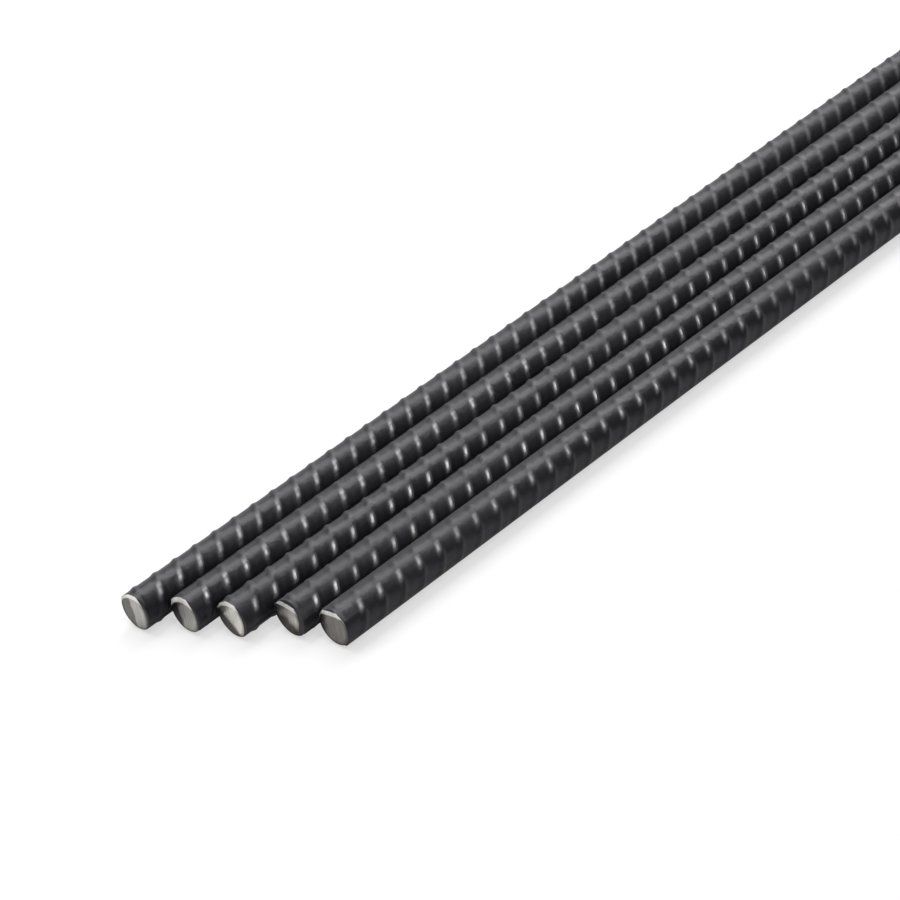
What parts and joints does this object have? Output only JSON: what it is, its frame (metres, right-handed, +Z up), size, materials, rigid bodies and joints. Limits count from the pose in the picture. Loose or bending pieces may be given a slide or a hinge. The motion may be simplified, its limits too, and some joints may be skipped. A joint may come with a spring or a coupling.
{
  "type": "rebar bundle",
  "caption": "Loose bundle of black steel reinforcing bars lying side by side in one layer, with sheared ends in echelon and slanting ribs.",
  "frame": {"origin": "centre of the bundle's footprint, on the floor that it lies on", "axes": "+X along the bars, from the sheared ends in the picture to the far ends; +Y across the bars, towards the far bar; +Z up"},
  "size_m": [0.6378, 0.07, 0.0134],
  "materials": {
    "mill_scale_steel": "as-rolled mill scale, near black and satin, with bare grey sheared ends"
  },
  "bodies": {
    "root": {"bar_1": "mill_scale_steel", "bar_2": "mill_scale_steel", "bar_3": "mill_scale_steel", "bar_4": "mill_scale_steel", "bar_5": "mill_scale_steel"}
  },
  "joints": []
}
